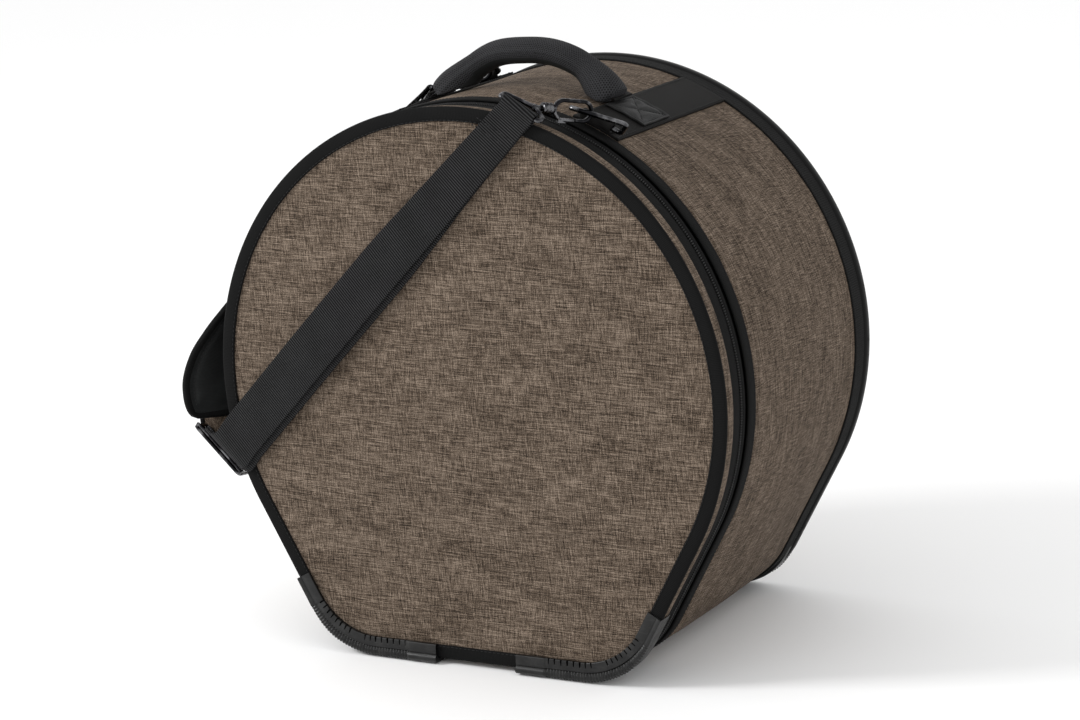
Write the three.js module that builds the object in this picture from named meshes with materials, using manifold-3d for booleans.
// Tom drum bag: a padded round case with a flat base, a zipped front lid, a carry handle
// and a clip-on shoulder strap. Millimetres, +Z up, the lid faces -Y.
// Everything is laid out round the drum axis (x = 0, z = 0, along Y) with the lid's front
// panel at y = 0. The last lines move the finished bag so that it stands on z = 0.
import * as THREE from 'three';
import { mergeVertices } from 'three/addons/utils/BufferGeometryUtils.js';
import Module from 'manifold-3d';

const wasm = await Module();
wasm.setup();

// Outline of the bag seen from the front
const wall_radius = 187.5;
const base_drop = 185.5;
const corner_radius = 58;
const side_angle = THREE.MathUtils.degToRad(28.5);
const bag_depth = 232;
const circle_step = THREE.MathUtils.degToRad(6);
const corner_steps = 5;

// Padded wall: outer cloth, foam, lining
const cloth = 1.5;
const foam = 7;
const lining = 1;
const ply_gap = 0.3;

// Zip ring between lid and body
const zip_line = 29.5;
const zip_recess = 4;
const tape_thickness = 1.2;
const coil_width = 2.8;
const coil_height = 3.2;
const coil_split = 1.2;
const lid_rim_depth = 13;
const flap_start = 36;
const wall_start = 46.5;
const flap_fold = 2;

// Bindings and piping
const binding_width = 9;
const binding_thickness = 1.3;
const binding_wrap = 3.5;
const rear_tape_depth = 10.5;
const piping_depth = 6.2;
const piping_proud = 2.2;

// Corner guards
const guard_thickness = 2.5;
const guard_flange = 14;
const guard_depth = 14.7;
const guard_bevel = 1;
const guard_base_start = 30;
const guard_side_share = 0.3;

// Webbing sewn across the wall, with its patches and ring tabs
const webbing = 1.5;
const band_centre_angle = THREE.MathUtils.degToRad(64.7);
const band_width = 35;
const patch_width = 30;
const patch_length = 38;
const tab_width = 22;
const tab_length = 20;
const tab_eye_radius = 2.4;

// Handle
const handle_y = 107;
const grip_radius = 10;
const core_radius = 4;
const grip_end_share = 0.65;
const grip_taper_start = 0.6;
const handle_half_span = 62;
const handle_end_z = 184;
const handle_rise = 24;
const handle_bow = 2.8;
const handle_tail_width = 20;
const handle_tail_thickness = 2.4;

// Strap rings
const ring_rod = 1.7;
const ring_foot_y = 46;
const ring_top_y = 35;
const left_ring_from_rear = 36;
const ring_foot_angles = [68.6, 59.3].map(THREE.MathUtils.degToRad);
const ring_top_angles = [69.8, 58].map(THREE.MathUtils.degToRad);
const ring_near_offset = 9.5;
const ring_far_offset = 18.5;
const ring_rounding = 4;
const ring_hook_share = 0.25;

// Snap hooks
const hook_eye_angles = [75.3, 122].map(THREE.MathUtils.degToRad);
const hook_eye_offsets = [10, 12];
const right_eye_y = -3.7;
const left_eye_from_rear = 80.2;
const left_hook_reach = 45;
const hook_hole_radius = 5;
const hook_wall = 2.6;
const hook_thickness = 3.2;
const hook_hole_length = 14;
const hook_nose_length = 5;
const hook_seat = 0.65;
const sleeve_radius = 4;
const sleeve_length = 8;
const shank_radius = 2;
const eye_rod = 1.7;
const eye_half_width = 19.2;
const eye_side = 5.5;
const eye_height = 13;
const eye_neck = 2.5;
const eye_slope = THREE.MathUtils.degToRad(-30);
const gate_thickness = 2.2;
const running_gap = 0.4;

// Strap, strap slider and shoulder pad
const strap_width = 32;
const strap_gap = 0.4;
const strap_leave_angle = THREE.MathUtils.degToRad(196.3);
const strap_leave_offset = 10.5;
const strap_shares = [0.012, 0.05, 0.12, 0.3, 0.5, 0.7, 0.88, 1];
const rear_webbing_shares = [0.65, 0.3];
const fold_overlap = THREE.MathUtils.degToRad(30);
const strap_slope = THREE.MathUtils.degToRad(-44);
const buckle_offset = 24;
const buckle_y = 12;
const buckle_turn = THREE.MathUtils.degToRad(28);
const buckle_length = 46;
const buckle_width = 20;
const buckle_thickness = 2.6;
const buckle_bar = 3.2;
const tongue_width = 26;
const pad_width = 62;
const pad_face_thickness = 2;
const pad_foam_thickness = 7;
const pad_angles = [190.1, 185.7, 182.4, 179.1, 175.8, 172.1, 160.6, 153, 146, 143.1]
  .map(THREE.MathUtils.degToRad);
const pad_offsets = [21.4, 25.5, 25.9, 26.9, 23.1, 17.6, 8.5, 6, 5.6, 5.6];
const pad_y = [28.5, 35.4, 39.1, 43.6, 46.6, 59.6, 80, 95, 107, 113];
const pad_twist_shares = [0.8, 0.6, 0.42, 0.26, 0.1, 0, 0, 0, 0, 0];
const pad_width_shares = [0.66, 1, 1, 1, 1, 1, 1, 1, 1, 0.66];

// Zip sliders
const slider_length = 20;
const slider_width = 11.5;
const slider_plate = 1.4;
const slider_gap = 0.4;
const neck_thickness = 0.6;
const neck_length = 5;
const slider_angles = [131, 143].map(THREE.MathUtils.degToRad);
const pull_length = 20;
const pull_width = 5;
const pull_thickness = 1.2;
const pull_eye_radius = 1.2;
const pull_hole_radius = 0.8;
const pull_pin_radius = 0.45;
const ear_thickness = 1;
const ear_gap = 0.3;

const seam_gap = 0.3;
const overlap = 0.1;
const AXIS_X = new THREE.Vector3(1, 0, 0);
const AXIS_Y = new THREE.Vector3(0, 1, 0);
const AXIS_Z = new THREE.Vector3(0, 0, 1);

const matte = (color, roughness = 0.9, metalness = 0) =>
  new THREE.MeshStandardMaterial({ color, roughness, metalness });
const linen = matte(0x5d5246);
const black_tape = matte(0x111112, 0.8);
const black_fabric = matte(0x17171a, 0.95);
const foam_grey = matte(0x4a4a4c, 1);
const lining_black = matte(0x0d0d0e, 0.85);
const plastic = matte(0x141415, 0.35);
const coil_nylon = matte(0x151516, 0.5);
const black_metal = matte(0x1a1a1c, 0.3, 0.9);

const bag = new THREE.Group();

function place(name, geometry, material) {
  const mesh = new THREE.Mesh(geometry, material);
  mesh.name = name;
  bag.add(mesh);
  return mesh;
}

// Closed surface from points and faces, turned so that its faces point out
function closedSurface(points, faces) {
  const corner = (i) => points[i];
  const volume = faces.reduce((sum, [a, b, c]) =>
    sum + corner(a).dot(new THREE.Vector3().crossVectors(corner(b), corner(c))), 0);
  const outward = volume < 0 ? faces.map(([a, b, c]) => [a, c, b]) : faces;
  const geometry = new THREE.BufferGeometry();
  const coordinates = points.flatMap((point) => point.toArray());
  geometry.setAttribute('position', new THREE.Float32BufferAttribute(coordinates, 3));
  geometry.setIndex(outward.flat());
  return geometry;
}

// Signed area of a polygon of [s, t] pairs
const turning = (polygon) =>
  polygon.reduce((sum, [s, t], i) => {
    const [u, v] = polygon[(i + 1) % polygon.length];
    return sum + s * v - u * t;
  }, 0);

// A flat section carried along frames; an open run gets an end face at each end
function sweep(section, frames, closed = false) {
  const points = frames.flatMap(({ origin, a, b, scale = 1 }) =>
    section.map(([s, t]) => origin.clone().addScaledVector(a, s).addScaledVector(b, t * scale)));
  const n = section.length;
  const faces = [];
  const spans = closed ? frames.length : frames.length - 1;
  for (let i = 0; i < spans; i++) {
    const here = i * n;
    const next = ((i + 1) % frames.length) * n;
    for (let j = 0; j < n; j++) {
      const k = (j + 1) % n;
      // Both sides of a thin sheet are split along the same diagonal
      if (section[k][1] >= section[j][1]) {
        faces.push([here + j, here + k, next + k], [here + j, next + k, next + j]);
      } else {
        faces.push([here + j, here + k, next + j], [here + k, next + k, next + j]);
      }
    }
  }
  if (!closed) {
    const outline = section.map(([s, t]) => new THREE.Vector2(s, t));
    const last = (frames.length - 1) * n;
    for (const triangle of THREE.ShapeUtils.triangulateShape(outline, [])) {
      const same = turning(triangle.map((i) => section[i])) * turning(section) > 0;
      const [p, q, r] = same ? triangle : [...triangle].reverse();
      faces.push([r, q, p], [last + p, last + q, last + r]);
    }
  }
  return closedSurface(points, faces);
}

const rectangle = (s0, s1, t0, t1) => [[s0, t0], [s1, t0], [s1, t1], [s0, t1]];
const polygon = (radius, sides, s = 0, t = 0) =>
  Array.from({ length: sides }, (_, i) => {
    const turn = (i / sides) * 2 * Math.PI;
    return [s + radius * Math.cos(turn), t + radius * Math.sin(turn)];
  });

// Outline stations: a point on the wall's outside, with the outward direction there
const corner_z = corner_radius - base_drop;
const corner_x = (wall_radius - corner_radius + corner_z * Math.sin(side_angle)) / Math.cos(side_angle);
const direction = (angle) => new THREE.Vector3(Math.cos(angle), 0, Math.sin(angle));
const station = (centre, radius, angle) => ({
  origin: centre.clone().addScaledVector(direction(angle), radius), a: direction(angle), b: AXIS_Y,
});
const arcStations = (centre, radius, from, to, steps) =>
  Array.from({ length: steps + 1 }, (_, i) => station(centre, radius, from + ((to - from) * i) / steps));
const drum_centre = new THREE.Vector3();
const right_corner = new THREE.Vector3(corner_x, 0, corner_z);
const left_corner = new THREE.Vector3(-corner_x, 0, corner_z);
const circle_steps = Math.round((Math.PI + 2 * side_angle) / circle_step);
const outline = [
  ...arcStations(right_corner, corner_radius, -Math.PI / 2, -side_angle, corner_steps),
  ...arcStations(drum_centre, wall_radius, -side_angle, Math.PI + side_angle, circle_steps),
  ...arcStations(left_corner, corner_radius, Math.PI + side_angle, 1.5 * Math.PI, corner_steps),
];

// Section points are [offset out from the wall, y]
const hoop = (section) => sweep(section, outline, true);
const zipRun = (section) => sweep(section, outline);
function disc(offset, y0, y1) {
  const rim = outline.map(({ origin, a }) => origin.clone().addScaledVector(a, offset));
  const section = rim.map((p) => [p.x, p.z]);
  const frames = [y0, y1].map((y) => ({ origin: new THREE.Vector3(0, y, 0), a: AXIS_X, b: AXIS_Z }));
  return sweep(section, frames);
}
const wallPoint = (angle, offset, y) => direction(angle).multiplyScalar(wall_radius + offset).setY(y);
function wallPlate(section, from, to) {
  const steps = Math.max(3, Math.ceil((2 * Math.abs(to - from)) / circle_step));
  return sweep(section, arcStations(drum_centre, wall_radius, from, to, steps));
}

// Frames along a run of points; a stays square to the run, as near to the given side as it can be
function framesAlong(points, sideAt, closed = false) {
  const count = points.length;
  return points.map((origin, i) => {
    const after = points[closed ? (i + 1) % count : Math.min(i + 1, count - 1)];
    const before = points[closed ? (i + count - 1) % count : Math.max(i - 1, 0)];
    const run = after.clone().sub(before).normalize();
    const side = sideAt(i).clone();
    const a = side.addScaledVector(run, -side.dot(run)).normalize();
    return { origin, a, b: new THREE.Vector3().crossVectors(run, a) };
  });
}
function rodLoop(corners, radius, rounding, normal) {
  const points = corners.flatMap((corner, i) => {
    const before = corners[(i + corners.length - 1) % corners.length];
    const after = corners[(i + 1) % corners.length];
    const towards = (other) =>
      corner.clone().addScaledVector(other.clone().sub(corner).normalize(), rounding);
    const bend = new THREE.QuadraticBezierCurve3(towards(before), corner, towards(after));
    return bend.getPoints(4);
  });
  return sweep(polygon(radius, 8), framesAlong(points, () => normal, true), true);
}

// Joining and cutting
function toSolid(geometry) {
  const bare = geometry.clone();
  ['normal', 'uv'].forEach((name) => bare.deleteAttribute(name));
  const merged = mergeVertices(bare);
  return new wasm.Manifold(new wasm.Mesh({
    numProp: 3,
    vertProperties: new Float32Array(merged.attributes.position.array),
    triVerts: new Uint32Array(merged.index.array),
  }));
}
function toGeometry(solid) {
  const { vertProperties, triVerts } = solid.getMesh();
  const geometry = new THREE.BufferGeometry();
  geometry.setAttribute('position', new THREE.Float32BufferAttribute(vertProperties, 3));
  geometry.setIndex(Array.from(triVerts));
  return geometry;
}
const join = (...parts) => toGeometry(parts.map(toSolid).reduce((whole, part) => whole.add(part)));

// Body wall and rear panel, each of cloth, foam and lining
const foam_out = -cloth - ply_gap;
const foam_in = foam_out - foam;
const lining_out = foam_in - ply_gap;
const lining_in = lining_out - lining;
const body_start = wall_start + seam_gap;
const wall_end = bag_depth - cloth - ply_gap;
const inner_end = wall_end - foam - ply_gap;
place('body_wall', hoop(rectangle(-cloth, 0, body_start, wall_end)), linen);
place('body_wall_foam', hoop(rectangle(foam_in, foam_out, body_start, inner_end)), foam_grey);
place('body_wall_lining', hoop(rectangle(lining_in, lining_out, body_start, inner_end)), lining_black);
place('rear_panel', disc(0, bag_depth - cloth, bag_depth), linen);
place('rear_panel_foam', disc(foam_out, wall_end - foam, wall_end), foam_grey);
place('rear_panel_lining', disc(lining_in - ply_gap, inner_end - lining, inner_end), lining_black);

// Trim round the rear edge
const binding_face = binding_thickness + seam_gap;
const rear_face = bag_depth + binding_face;
const piping_front = bag_depth - piping_depth;
const rear_tape_start = piping_front - seam_gap - rear_tape_depth;
const piping_round = binding_thickness / 2;
place('rear_edge_tape',
  hoop(rectangle(seam_gap, binding_face, rear_tape_start, piping_front - seam_gap)), black_tape);
place('rear_piping', hoop([
  [seam_gap, piping_front],
  [piping_proud - piping_round, piping_front],
  [piping_proud, piping_front + piping_round],
  [piping_proud, rear_face - piping_round],
  [piping_proud - piping_round, rear_face],
  [-binding_width, rear_face],
  [-binding_width, bag_depth + seam_gap],
  [seam_gap, bag_depth + seam_gap],
]), black_tape);

// Zip ring: a tape and a coil on each side of the zip line, and the flap strip behind it
const coil_near = coil_split / 2;
const coil_far = coil_near + coil_width;
const tape_near = coil_far + seam_gap;
const tape_out = -zip_recess;
const tape_in = tape_out - tape_thickness;
const coil_out = (tape_out + tape_in + coil_height) / 2;
const coil_in = coil_out - coil_height;
const flap_out = ply_gap;
const flap_in = flap_out - cloth;
place('body_zip_tape', zipRun(rectangle(tape_in, tape_out, zip_line + tape_near,
  wall_start - flap_fold - seam_gap)), black_tape);
place('lid_zip_tape', zipRun(rectangle(tape_in, tape_out, lid_rim_depth + seam_gap,
  zip_line - tape_near)), black_tape);
place('body_zip_coil', zipRun(rectangle(coil_in, coil_out, zip_line + coil_near, zip_line + coil_far)),
  coil_nylon);
place('lid_zip_coil', zipRun(rectangle(coil_in, coil_out, zip_line - coil_far, zip_line - coil_near)),
  coil_nylon);
place('body_flap_strip', hoop([
  [flap_in, flap_start],
  [flap_out, flap_start],
  [flap_out, wall_start],
  [foam_in, wall_start],
  [foam_in, wall_start - flap_fold],
  [flap_in, wall_start - flap_fold],
]), black_tape);
const hinge_half_width = corner_x - seam_gap;
place('hinge_strip', sweep(
  rectangle(tape_in, tape_out, lid_rim_depth + seam_gap, wall_start - flap_fold - seam_gap),
  [hinge_half_width, -hinge_half_width].map((x) => (
    { origin: new THREE.Vector3(x, 0, -base_drop), a: AXIS_Z.clone().negate(), b: AXIS_Y })),
), black_fabric);

// Lid: panel, foam, lining, rim and binding
place('lid_panel', disc(0, 0, cloth), linen);
place('lid_foam', disc(foam_out, cloth + ply_gap, cloth + ply_gap + foam), foam_grey);
const lid_lining_start = cloth + 2 * ply_gap + foam;
place('lid_lining', disc(foam_out, lid_lining_start, lid_lining_start + lining), lining_black);
place('lid_rim', hoop([
  [0, cloth + ply_gap],
  [0, lid_rim_depth],
  [foam_in, lid_rim_depth],
  [foam_in, lid_rim_depth - cloth],
  [-cloth, lid_rim_depth - cloth],
  [-cloth, cloth + ply_gap],
]), linen);
const binding_round = binding_thickness / 2;
place('lid_binding', hoop([
  [-binding_width, -seam_gap],
  [-binding_width, -binding_face],
  [binding_face - binding_round, -binding_face],
  [binding_face, binding_round - binding_face],
  [binding_face, binding_wrap],
  [seam_gap, binding_wrap],
  [seam_gap, -seam_gap],
]), black_tape);

// Corner guards: an angle section carried round each lower corner
const guard_in = piping_proud + seam_gap;
const guard_out = guard_in + guard_thickness;
const guard_face_in = binding_face + seam_gap;
const guard_face_out = guard_face_in + guard_thickness;
function guardFrames(side) {
  const on_base = station(new THREE.Vector3(guard_base_start, 0, 0), base_drop, -Math.PI / 2);
  const corner = arcStations(right_corner, corner_radius, -Math.PI / 2, -side_angle, corner_steps + 2);
  const side_start = corner[corner.length - 1];
  const side_end = station(drum_centre, wall_radius, -side_angle);
  const tip = { ...side_start, origin: side_start.origin.clone().lerp(side_end.origin, guard_side_share) };
  return [on_base, ...corner, tip].map(({ origin, a }) => (
    { origin: origin.clone().setX(side * origin.x), a: a.clone().setX(side * a.x), b: AXIS_Y }));
}
function guardSection(face, inward) {
  const y = (depth) => face + inward * depth;
  return [
    [guard_out - guard_bevel, y(-guard_face_out)],
    [guard_out, y(guard_bevel - guard_face_out)],
    [guard_out, y(guard_depth - guard_face_out)],
    [guard_in, y(guard_depth - guard_face_out)],
    [guard_in, y(-guard_face_in)],
    [guard_out - guard_flange, y(-guard_face_in)],
    [guard_out - guard_flange, y(-guard_face_out)],
  ];
}
for (const [hand, side] of [['right', 1], ['left', -1]]) {
  place(`lid_guard_${hand}`, sweep(guardSection(0, 1), guardFrames(side)), plastic);
  place(`rear_guard_${hand}`, sweep(guardSection(bag_depth, -1), guardFrames(side)), plastic);
}

// Webbing bands across the top, handle patches and ring tabs, one set on each side
const mirrorX = (geometry) => {
  const mirrored = geometry.clone().scale(-1, 1, 1);
  mirrored.setIndex(Array.from(geometry.index.array).reverse());
  return mirrored;
};
const arc = (width) => width / wall_radius / 2;
const around = (width) => [band_centre_angle - arc(width), band_centre_angle + arc(width)];
const band_out = seam_gap + webbing;
const patch_in = band_out + seam_gap;
const patch_out = patch_in + webbing;
const ring_foot_offset = patch_in + webbing + tab_eye_radius;
const band = wallPlate(rectangle(seam_gap, band_out, body_start, rear_tape_start - seam_gap),
  ...around(band_width));
const patch = wallPlate(
  rectangle(patch_in, patch_out, handle_y - patch_length / 2, handle_y + patch_length / 2),
  ...around(patch_width));
// The tab lies on the band and ends in a sleeve round the ring's lower bar
const sleeve_sweep = 1.4 * Math.PI;
const sleeve_steps = 9;
function ringTab(shift) {
  const foot_y = ring_foot_y + shift;
  const curl = (radius) => Array.from({ length: sleeve_steps + 1 }, (_, i) => {
    const turn = (sleeve_sweep * i) / sleeve_steps;
    return [ring_foot_offset - radius * Math.cos(turn), foot_y - radius * Math.sin(turn)];
  });
  const flat_end = foot_y + tab_length;
  return wallPlate([
    [patch_in, flat_end], ...curl(tab_eye_radius + webbing),
    ...curl(tab_eye_radius).reverse(), [patch_out, flat_end],
  ], ...around(tab_width));
}
// A rod ring whose lower bar follows the wall and whose upper bar takes the hook
const ring_half_angle = (ring_foot_angles[0] - ring_foot_angles[1]) / 2;
const ring_bar_offset = (wall_radius + ring_foot_offset) / Math.cos(ring_half_angle) - wall_radius;
const ringCorners = (side, shift) => [
  wallPoint(ring_foot_angles[0], ring_bar_offset, ring_foot_y + shift),
  wallPoint(ring_foot_angles[1], ring_bar_offset, ring_foot_y + shift),
  wallPoint(ring_top_angles[1], ring_far_offset, ring_top_y + shift),
  wallPoint(ring_top_angles[0], ring_near_offset, ring_top_y + shift),
].map((corner) => corner.setX(side * corner.x));
function strapRing(corners) {
  const across = corners[1].clone().sub(corners[0]);
  const up = corners[3].clone().sub(corners[0]);
  return rodLoop(corners, ring_rod, ring_rounding, across.cross(up));
}
const hands = [
  { hand: 'right', side: 1, shift: 0 },
  { hand: 'left', side: -1, shift: bag_depth - left_ring_from_rear - ring_foot_y },
];
for (const { hand, side, shift } of hands) {
  const onSide = (geometry) => (side > 0 ? geometry : mirrorX(geometry));
  place(`top_band_${hand}`, onSide(band), black_tape);
  place(`handle_patch_${hand}`, onSide(patch), black_tape);
  place(`ring_tab_${hand}`, onSide(ringTab(shift)), black_tape);
  place(`strap_ring_${hand}`, strapRing(ringCorners(side, shift)), black_metal);
}

// Handle: a padded grip over a core, with a webbing tail from each end to its patch
const grip_steps = 14;
const handleFrame = (share) => {
  const steepness = handle_bow * Math.abs(share) ** (handle_bow - 2);
  const slope = (-steepness * handle_rise * share) / handle_half_span;
  const run = new THREE.Vector3(1, 0, slope).normalize();
  const z = handle_end_z + handle_rise * (1 - Math.abs(share) ** handle_bow);
  return {
    origin: new THREE.Vector3(share * handle_half_span, handle_y, z),
    a: AXIS_Y, b: new THREE.Vector3().crossVectors(run, AXIS_Y), run,
  };
};
const moved = (frame, distance) => (
  { ...frame, origin: frame.origin.clone().addScaledVector(frame.run, distance) });
const gripFrames = Array.from({ length: grip_steps + 1 }, (_, i) => handleFrame((2 * i) / grip_steps - 1));
// The padding thins towards each end of the grip
const paddedFrames = gripFrames.map((frame, i) => {
  const past = Math.max(0, Math.abs((2 * i) / grip_steps - 1) - grip_taper_start) / (1 - grip_taper_start);
  const size = 1 - (1 - grip_end_share) * past ** 2;
  return { ...frame, a: frame.a.clone().multiplyScalar(size), b: frame.b.clone().multiplyScalar(size) };
});
const [left_end, right_end] = [gripFrames[0], gripFrames[grip_steps]];
const grip_bore = core_radius + seam_gap;
const boreFrames = [moved(left_end, -grip_bore), ...gripFrames, moved(right_end, grip_bore)];
place('handle_grip', toGeometry(toSolid(sweep(polygon(grip_radius, 12), paddedFrames))
  .subtract(toSolid(sweep(polygon(grip_bore, 8), boreFrames)))), black_fabric);
place('handle_core', sweep(polygon(core_radius, 8), gripFrames), foam_grey);
// Each tail leaves the grip in line with it and bends to lie on its patch
const tail_offset = patch_out + seam_gap + handle_tail_thickness / 2;
const tail_bend = around(patch_width)[1] - arc(handle_tail_thickness);
const tail_section = rectangle(
  -handle_tail_thickness / 2, handle_tail_thickness / 2, -handle_tail_width / 2, handle_tail_width / 2);
const tail_turns = [tail_bend, tail_bend - arc(handle_tail_width) / 2, band_centre_angle];
const tail_frames = [
  { ...moved(right_end, seam_gap), a: right_end.b },
  ...tail_turns.map((angle) => ({ origin: wallPoint(angle, tail_offset, handle_y), a: direction(angle) })),
];
for (const { hand, side } of hands) {
  const onSide = (geometry) => (side > 0 ? geometry : mirrorX(geometry));
  place(`handle_tail_${hand}`, onSide(sweep(
    tail_section,
    tail_frames.map((frame) => ({ ...frame, b: AXIS_Y })),
  )), black_tape);
}

// Snap hooks. Both turn about the line through the two ring bars when the strap is lifted.
const hook_seats = hands.map(({ side, shift }) => {
  const corners = ringCorners(side, shift);
  return corners[3].clone().lerp(corners[2], ring_hook_share);
});
const strap_axis = hook_seats[1].clone().sub(hook_seats[0]).normalize();
const left_eye_aim = wallPoint(hook_eye_angles[1], hook_eye_offsets[1], bag_depth - left_eye_from_rear);
const eye_bars = [
  wallPoint(hook_eye_angles[0], hook_eye_offsets[0], right_eye_y),
  hook_seats[1].clone().add(left_eye_aim.sub(hook_seats[1]).setLength(left_hook_reach)),
];
const blade_root = hook_hole_radius + hook_wall;
const nose_centre = blade_root + hook_hole_length;
function hookFrame(i) {
  const along = hook_seats[i].clone().sub(eye_bars[i]).normalize();
  const across = strap_axis.clone().addScaledVector(along, -strap_axis.dot(along)).normalize();
  const up = new THREE.Vector3().crossVectors(across, along);
  if (up.z < 0) { up.negate(); across.negate(); }
  const root = hook_seats[i].clone().addScaledVector(along, -nose_centre - hook_seat);
  return { along, across, up, root };
}
const stadium = (target, from, to, radius) => {
  target.moveTo(from, -radius);
  target.lineTo(to, -radius);
  target.absarc(to, 0, radius, -Math.PI / 2, Math.PI / 2);
  target.lineTo(from, radius);
  target.absarc(from, 0, radius, Math.PI / 2, 1.5 * Math.PI);
  return target;
};
const mouth_start = blade_root - hook_wall;
const mouth_end = nose_centre - hook_nose_length;
const mouth_floor = -hook_hole_radius + gate_thickness / 4;
function slab(shape, thickness, curveSegments = 6) {
  return new THREE.ExtrudeGeometry(shape, { depth: thickness, bevelEnabled: false, curveSegments })
    .translate(0, 0, -thickness / 2);
}
function hookBlade() {
  const outline = stadium(new THREE.Shape(), blade_root, nose_centre, hook_hole_radius + hook_wall);
  outline.holes.push(stadium(new THREE.Path(), blade_root, nose_centre, hook_hole_radius));
  const mouth = new THREE.Shape([
    [mouth_start, mouth_floor], [mouth_end, mouth_floor],
    [mouth_end, -2 * hook_hole_radius], [mouth_start, -2 * hook_hole_radius],
  ].map(([x, y]) => new THREE.Vector2(x, y)));
  return toSolid(slab(outline, hook_thickness)).subtract(toSolid(slab(mouth, 2 * hook_thickness)));
}
// Swivel sleeve at the blade's root, open towards the eye
function hookSleeve() {
  const bore = shank_radius + running_gap;
  const floor = -hook_wall / 2;
  const profile = [
    [0, floor], [bore, floor], [bore, -sleeve_length], [sleeve_radius, -sleeve_length],
    [sleeve_radius, hook_wall / 2], [0, hook_wall / 2], [0, floor],
  ].map(([r, y]) => new THREE.Vector2(r, y));
  return new THREE.LatheGeometry(profile, 12).rotateZ(-Math.PI / 2);
}
// The gate's round root turns in the blade's mouth; its tip closes against the nose
const gate_centre = -hook_hole_radius - hook_wall / 2;
const gate_root = mouth_start + seam_gap + gate_thickness / 2;
const gate_tip = mouth_end - seam_gap;
function gateShape() {
  const half = gate_thickness / 2;
  const shape = new THREE.Shape();
  shape.moveTo(gate_root, gate_centre - half);
  shape.lineTo(gate_tip, gate_centre - half);
  shape.lineTo(gate_tip, gate_centre + half);
  shape.lineTo(gate_root, gate_centre + half);
  shape.absarc(gate_root, gate_centre, half, Math.PI / 2, 1.5 * Math.PI);
  return shape;
}
const eye_directions = [
  new THREE.Vector3(Math.cos(eye_slope), 0, Math.sin(eye_slope)),
  new THREE.Vector3().crossVectors(hookFrame(1).along, eye_bars[1].clone().setY(0)).normalize(),
];
hands.forEach(({ hand }, i) => {
  const { along, across, up, root } = hookFrame(i);
  const onHook = new THREE.Matrix4().makeBasis(along, up, new THREE.Vector3().crossVectors(along, up));
  onHook.setPosition(root);
  const hook = toGeometry(hookBlade().add(toSolid(hookSleeve())));
  place(`hook_body_${hand}`, hook.applyMatrix4(onHook), black_metal);
  place(`hook_gate_${hand}`, slab(gateShape(), hook_thickness).applyMatrix4(onHook), black_metal);
  const bar = eye_bars[i];
  const side = eye_directions[i];
  const apex = bar.clone().addScaledVector(along, eye_height);
  // The loop's sides start square to its bar, so the webbing's edges stay clear of them
  const square = along.clone().addScaledVector(side, -along.dot(side)).normalize();
  const corners = [
    [bar, -eye_half_width, 0], [bar, eye_half_width, 0], [bar, eye_half_width, eye_side],
    [apex, eye_neck, 0], [apex, -eye_neck, 0], [bar, -eye_half_width, eye_side],
  ].map(([from, across_bar, ahead]) =>
    from.clone().addScaledVector(side, across_bar).addScaledVector(square, ahead));
  const loop = rodLoop(corners, eye_rod, eye_neck, new THREE.Vector3().crossVectors(along, side));
  const shank_end = root.clone().addScaledVector(along, -hook_wall / 2 - running_gap);
  const shank = sweep(polygon(shank_radius, 8), framesAlong([apex, shank_end], () => across));
  place(`hook_eye_${hand}`, join(loop, shank), black_metal);
});

// Strap: one run of webbing folded over the right hook's eye, both layers going down to the strap slider
const layer_step = webbing + strap_gap;
const fold_radius = eye_rod + seam_gap + webbing / 2;
const lid_front = binding_face + strap_gap + webbing / 2;
const strap_leave = wallPoint(strap_leave_angle, strap_leave_offset, 0);
const strap_down = strap_leave.clone().sub(eye_bars[0]).setY(0).normalize();
const lid_width_side = new THREE.Vector3(Math.cos(strap_slope), 0, Math.sin(strap_slope));
const buckle_centre = wallPoint(strap_leave_angle, buckle_offset, buckle_y);
const buckle_side = new THREE.Vector3(Math.cos(strap_slope), 0, Math.sin(strap_slope));
const toRear = AXIS_Y.clone().multiplyScalar(Math.cos(buckle_turn))
  .addScaledVector(new THREE.Vector3().crossVectors(AXIS_Y, buckle_side), Math.sin(buckle_turn));
const strap_run = strap_leave.clone().sub(eye_bars[0]).setY(0).length();
const fold_steps = 8;
function strapLayer(depth) {
  return strap_shares.map((share) => ({
    origin: eye_bars[0].clone().addScaledVector(strap_down, share * strap_run).setY(-depth),
    a: AXIS_Y.clone().negate(),
    b: eye_directions[0].clone().lerp(lid_width_side, Math.min(1, share / 0.3)).normalize(),
  }));
}
function foldFrames(bar, side, out_hint, away_hint) {
  const away = away_hint.clone().addScaledVector(side, -away_hint.dot(side)).normalize();
  const out = new THREE.Vector3().crossVectors(side, away);
  if (out.dot(out_hint) < 0) out.negate();
  return Array.from({ length: fold_steps + 1 }, (_, i) => {
    const turn = THREE.MathUtils.lerp(-fold_overlap, Math.PI + fold_overlap, i / fold_steps);
    const spoke = out.clone().multiplyScalar(Math.cos(turn)).addScaledVector(away, -Math.sin(turn));
    return { origin: bar.clone().addScaledVector(spoke, fold_radius), a: spoke, b: side };
  });
}
const front_layer = strapLayer(lid_front + layer_step);
const back_layer = strapLayer(lid_front).map((frame) => ({ ...frame, a: AXIS_Y }));
const mouth_reach = buckle_width / 2 + strap_gap + webbing / 2;
const buckle_mouth = buckle_centre.clone().addScaledVector(toRear, -mouth_reach);
const buckle_lift = new THREE.Vector3().crossVectors(toRear, buckle_side).normalize();
if (buckle_lift.x > 0) buckle_lift.negate();
const layerEnd = (lift) => ({
  origin: buckle_mouth.clone().addScaledVector(buckle_lift, lift), a: buckle_lift, b: buckle_side,
});
const strap_section = rectangle(-webbing / 2, webbing / 2, -strap_width / 2, strap_width / 2);
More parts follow.
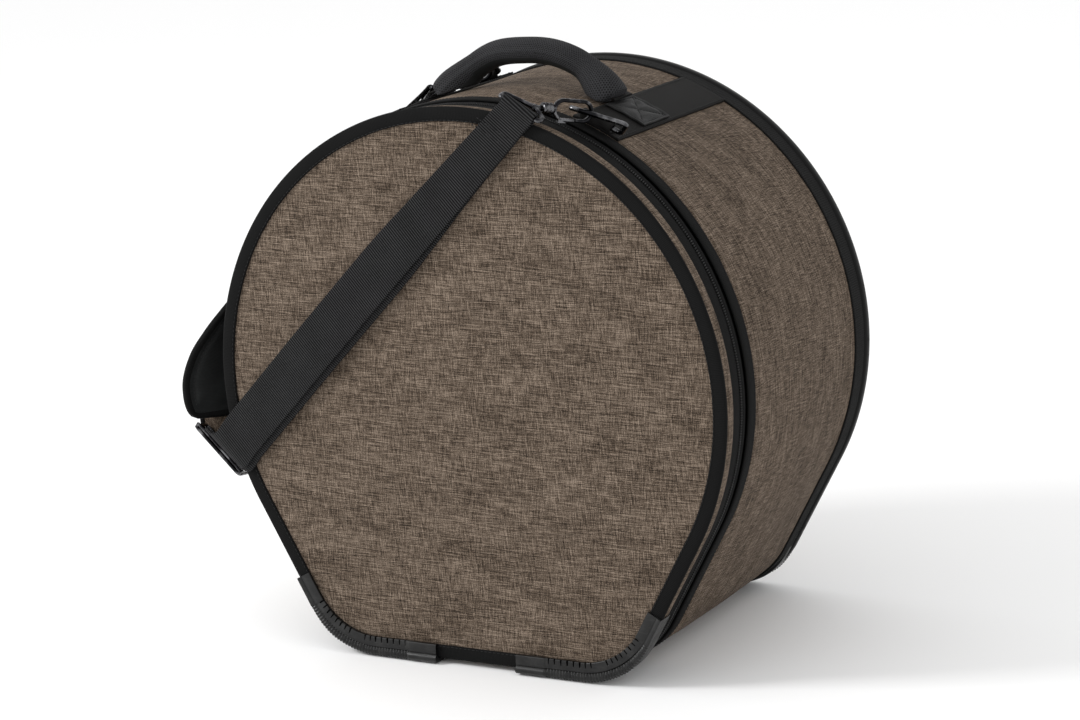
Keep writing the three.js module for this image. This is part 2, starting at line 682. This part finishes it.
place('strap_webbing', sweep(strap_section, [
  layerEnd(layer_step / 2),
  ...front_layer.reverse(),
  ...foldFrames(eye_bars[0], eye_directions[0], AXIS_Y.clone().negate(), strap_down),
  ...back_layer,
  { ...layerEnd(-layer_step / 2), a: buckle_lift.clone().negate() },
]), black_fabric);

// Strap slider: a frame with two slots and a middle bar
function buckleShape() {
  const shape = new THREE.Shape();
  const half_length = buckle_length / 2;
  const half_width = buckle_width / 2;
  shape.moveTo(-half_length, -half_width);
  shape.lineTo(half_length, -half_width);
  shape.lineTo(half_length, half_width);
  shape.lineTo(-half_length, half_width);
  const slot_in = buckle_bar / 2;
  const slot_out = half_width - buckle_bar;
  const slot_end = half_length - buckle_bar;
  for (const [near, far] of [[slot_in, slot_out], [-slot_out, -slot_in]]) {
    shape.holes.push(new THREE.Path([
      [-slot_end, near], [slot_end, near], [slot_end, far], [-slot_end, far],
    ].map(([x, y]) => new THREE.Vector2(x, y))));
  }
  return shape;
}
const onBuckle = new THREE.Matrix4()
  .makeBasis(buckle_side, toRear, new THREE.Vector3().crossVectors(buckle_side, toRear))
  .setPosition(buckle_centre);
place('strap_slider', slab(buckleShape(), buckle_thickness).applyMatrix4(onBuckle), black_metal);

// Shoulder pad beside the bag, with its tongue to the strap slider and its webbing to the left hook
const pad_line = pad_angles.map((angle, i) => wallPoint(angle, pad_offsets[i], pad_y[i]));
// A frame across a run, with its width as near to the wanted direction as it can be
function frameAcross(origin, run, width) {
  const b = width.clone().addScaledVector(run, -width.dot(run)).normalize();
  return { origin, a: new THREE.Vector3().crossVectors(run, b), b, run };
}
const pad_frames = pad_line.map((origin, i) => {
  const ahead = pad_line[Math.min(i + 1, pad_line.length - 1)];
  const behind = pad_line[Math.max(i - 1, 0)];
  const run = ahead.clone().sub(behind).normalize();
  const width = AXIS_Y.clone().lerp(buckle_side, pad_twist_shares[i]);
  return { ...frameAcross(origin, run, width), scale: pad_width_shares[i] };
});
const pad_half = (pad_face_thickness + seam_gap + pad_foam_thickness) / 2;
place('pad_face', sweep(rectangle(pad_half - pad_face_thickness, pad_half, -pad_width / 2, pad_width / 2),
  pad_frames), linen);
place('pad_padding', sweep(rectangle(-pad_half, pad_half - pad_face_thickness - seam_gap,
  -pad_width / 2, pad_width / 2), pad_frames), black_fabric);
function padEnd(index, towards) {
  const frame = pad_frames[index];
  const run = pad_line[index].clone().sub(pad_line[towards]).normalize();
  return { ...frame, scale: 1, origin: frame.origin.clone().addScaledVector(run, seam_gap + strap_gap) };
}
const pad_foot = padEnd(0, 1);
const pad_head = padEnd(pad_line.length - 1, pad_line.length - 2);
const tongue_start = buckle_centre.clone()
  .addScaledVector(toRear, buckle_width / 2 + 2 * strap_gap + webbing);
const tongue_run = pad_foot.origin.clone().sub(tongue_start).normalize();
const tongue_lift = new THREE.Vector3().crossVectors(tongue_run, buckle_side).normalize();
place('pad_tongue', sweep(rectangle(-webbing / 2, webbing / 2, -tongue_width / 2, tongue_width / 2), [
  { origin: tongue_start, a: tongue_lift, b: buckle_side },
  pad_foot,
]), linen);
const left_bar = eye_bars[1];
const left_side = eye_directions[1].clone();
if (left_side.dot(pad_head.b) < 0) left_side.negate();
const left_down = pad_head.origin.clone().sub(left_bar).normalize();
const left_out = left_bar.clone().setY(0).normalize();
place('strap_rear_webbing', sweep(strap_section, [
  pad_head,
  ...rear_webbing_shares.map((share) => {
    const origin = left_bar.clone().lerp(pad_head.origin, share).addScaledVector(left_out, fold_radius);
    return { origin, a: left_out, b: left_side };
  }),
  ...foldFrames(left_bar, left_side, left_out, left_down),
]), black_fabric);

// Zip sliders: a plate above and below the coils joined by a thin neck between them,
// and a pull tab on a pin between two ears
const plate_in = coil_out + slider_gap;
const plate_out = plate_in + slider_plate;
const under_out = coil_in - slider_gap;
const under_in = under_out - slider_plate;
const pull_offset = plate_out + seam_gap + pull_eye_radius;
function sliderBlock(angle, offsets, y_half, length, y_centre = zip_line) {
  const half = arc(length);
  return wallPlate(rectangle(...offsets, y_centre - y_half, y_centre + y_half), angle - half, angle + half);
}
const ear_y = pull_width / 2 + ear_gap + ear_thickness / 2;
function zipSlider(angle, lean) {
  const ear_angle = angle + (lean * arc(slider_length)) / 2;
  const ear_offsets = [plate_out - overlap, pull_offset + pull_hole_radius];
  const ears = [-ear_y, ear_y].map((y) =>
    sliderBlock(ear_angle, ear_offsets, ear_thickness / 2, 4 * pull_eye_radius, zip_line + y));
  const pin_run = [-ear_y, ear_y].map((y) => wallPoint(ear_angle, pull_offset, zip_line + y));
  const pin = sweep(polygon(pull_pin_radius, 8), framesAlong(pin_run, () => direction(ear_angle)));
  return join(
    sliderBlock(angle, [plate_in, plate_out], slider_width / 2, slider_length),
    sliderBlock(angle, [under_in, under_out], slider_width / 2, slider_length),
    sliderBlock(angle, [under_out - overlap, plate_in + overlap], neck_thickness / 2, neck_length),
    pin, ...ears,
  );
}
function zipPull(angle, lean) {
  const ear_angle = angle + (lean * arc(slider_length)) / 2;
  const half = pull_thickness / 2;
  const shape = new THREE.Shape();
  const side_turn = Math.asin(half / pull_eye_radius);
  shape.absarc(0, 0, pull_eye_radius, side_turn, 2 * Math.PI - side_turn);
  shape.lineTo(pull_length, -half);
  shape.lineTo(pull_length, half);
  shape.holes.push(new THREE.Path().absarc(0, 0, pull_hole_radius, 0, 2 * Math.PI));
  const tangent = direction(ear_angle + (lean * Math.PI) / 2);
  const out = direction(ear_angle);
  const basis = new THREE.Matrix4().makeBasis(tangent, out, new THREE.Vector3().crossVectors(tangent, out));
  basis.setPosition(wallPoint(ear_angle, pull_offset, zip_line));
  return slab(shape, pull_width).applyMatrix4(basis);
}
['front', 'rear'].forEach((name, i) => {
  const lean = i === 0 ? -1 : 1;
  place(`zip_slider_${i + 1}`, zipSlider(slider_angles[i], lean), black_metal);
  place(`zip_pull_${i + 1}`, zipPull(slider_angles[i], lean), black_metal);
});

// The bag stands on its corner guards, centred on the origin
const extent = new THREE.Box3().setFromObject(bag);
const middle = extent.getCenter(new THREE.Vector3());
bag.position.set(-middle.x, -middle.y, -extent.min.z);

export default bag;
